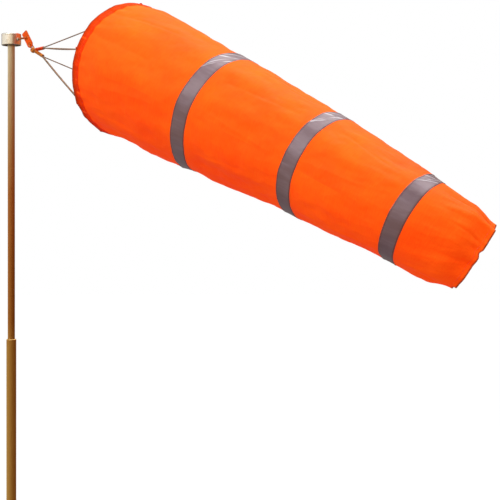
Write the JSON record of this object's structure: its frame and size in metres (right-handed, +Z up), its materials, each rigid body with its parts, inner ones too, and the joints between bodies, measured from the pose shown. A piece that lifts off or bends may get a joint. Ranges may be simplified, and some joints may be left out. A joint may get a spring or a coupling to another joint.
{
  "type": "windsock with pole",
  "caption": "Orange tapered fabric windsock with reflective bands, hung by a corded bridle from a ball-bearing swivel drum on a two-stage telescopic steel pole.",
  "frame": {"origin": "centre of the foot cap's flat underside, on the pole's axis", "axes": "+Z up along the pole, +X the way the sock flies in the stored pose, +Y to its left"},
  "size_m": [1.2128, 0.2828, 1.5142],
  "materials": {
    "pole_steel": "drawn steel tube with a clear golden lacquer, glossy",
    "bright_steel": "turned and polished bright steel",
    "plated_steel": "bright zinc plating",
    "nylon": "natural nylon, satin",
    "rubber": "matt black rubber",
    "sock_cloth": "fluorescent orange ripstop polyester, matt",
    "reflective_tape": "grey retroreflective tape with a soft silver sheen",
    "webbing": "orange woven polyester webbing, doubled and stitched",
    "cord": "tan braided polyester cord"
  },
  "bodies": {
    "pole_base": {"foot_cap": "rubber", "lower_tube": "pole_steel", "neck_bush": "nylon"},
    "slide_carrier": {"slide_collar": "nylon", "collar_ring": "plated_steel"},
    "mast": {"upper_tube": "pole_steel", "tube_end_plug": "nylon", "spindle": "plated_steel", "bearing_spacer": "plated_steel", "bearing_inner_ring": "bright_steel", "spindle_washer": "plated_steel", "spindle_nut": "plated_steel"},
    "ball_row": {"ball_cage": "nylon", "bearing_ball_1": "bright_steel", "bearing_ball_2": "bright_steel", "bearing_ball_3": "bright_steel", "bearing_ball_4": "bright_steel", "bearing_ball_5": "bright_steel", "bearing_ball_6": "bright_steel", "bearing_ball_7": "bright_steel"},
    "swivel_head": {"bearing_outer_ring": "bright_steel", "drum_hub": "plated_steel", "drum_shell": "bright_steel", "dust_shield": "rubber", "grub_screw_1": "plated_steel", "grub_screw_2": "plated_steel", "grub_screw_3": "plated_steel", "eye_stud": "plated_steel", "eye_nut": "plated_steel"},
    "tab": {"webbing_tab": "webbing", "upper_tab_eyelet": "plated_steel", "lower_tab_eyelet": "plated_steel"},
    "sock_front": {"bridle_ring": "plated_steel", "bridle_knot": "cord", "upper_leader": "cord", "lower_leader": "cord", "bridle_cord_1": "cord", "bridle_cord_2": "cord", "bridle_cord_3": "cord", "bridle_cord_4": "cord", "bridle_cord_5": "cord", "bridle_cord_6": "cord", "hoop_knot_1": "cord", "hoop_knot_2": "cord", "hoop_knot_3": "cord", "hoop_knot_4": "cord", "hoop_knot_5": "cord", "hoop_knot_6": "cord", "mouth_hoop": "plated_steel", "mouth_hem": "sock_cloth", "front_panel": "sock_cloth", "reflective_band_1": "reflective_tape"},
    "sock_middle": {"middle_panel": "sock_cloth", "reflective_band_2": "reflective_tape"},
    "sock_tail": {"tail_panel": "sock_cloth", "reflective_band_3": "reflective_tape", "tail_hem": "sock_cloth"}
  },
  "joints": [
    {"name": "mast_slide", "type": "slide", "parent": "pole_base", "child": "slide_carrier", "axis": [0, 0, 1], "range_m": [-0.64, 0]},
    {"name": "mast_twist", "type": "hinge", "parent": "slide_carrier", "child": "mast", "pos_m": [0, 0, 0.72], "axis": [0, 0, 1], "range_deg": [0, 180]},
    {"name": "head_swivel", "type": "hinge", "parent": "mast", "child": "swivel_head", "pos_m": [0, 0, 1.4715], "axis": [0, 0, 1], "continuous": true},
    {"name": "ball_row_roll", "type": "hinge", "parent": "mast", "child": "ball_row", "pos_m": [0, 0, 1.4715], "axis": [0, 0, 1], "continuous": true},
    {"name": "tab_swing", "type": "hinge", "parent": "swivel_head", "child": "tab", "pos_m": [0.05, 0, 1.4725], "axis": [0, 1, 0], "range_deg": [-15, 25], "stiffness_Nm_per_rad": 5, "springref_deg": -18.58},
    {"name": "bridle_swing", "type": "hinge", "parent": "tab", "child": "sock_front", "pos_m": [0.0598, 0, 1.4574], "axis": [0, 1, 0], "range_deg": [-15, 25], "stiffness_Nm_per_rad": 5, "springref_deg": -18.31},
    {"name": "sock_droop_1", "type": "hinge", "parent": "sock_front", "child": "sock_middle", "pos_m": [0.7208, 0, 1.2115], "axis": [0, 1, 0], "range_deg": [-8, 15], "stiffness_Nm_per_rad": 1, "springref_deg": -12.11},
    {"name": "sock_droop_2", "type": "hinge", "parent": "sock_middle", "child": "sock_tail", "pos_m": [0.9434, -0.0031, 1.1046], "axis": [0, 1, 0], "range_deg": [-8, 15], "stiffness_Nm_per_rad": 0.4, "springref_deg": -7.05}
  ],
  "couplings": [
    {"joint": "ball_row_roll", "follows": "head_swivel", "ratio": 0.6286}
  ]
}
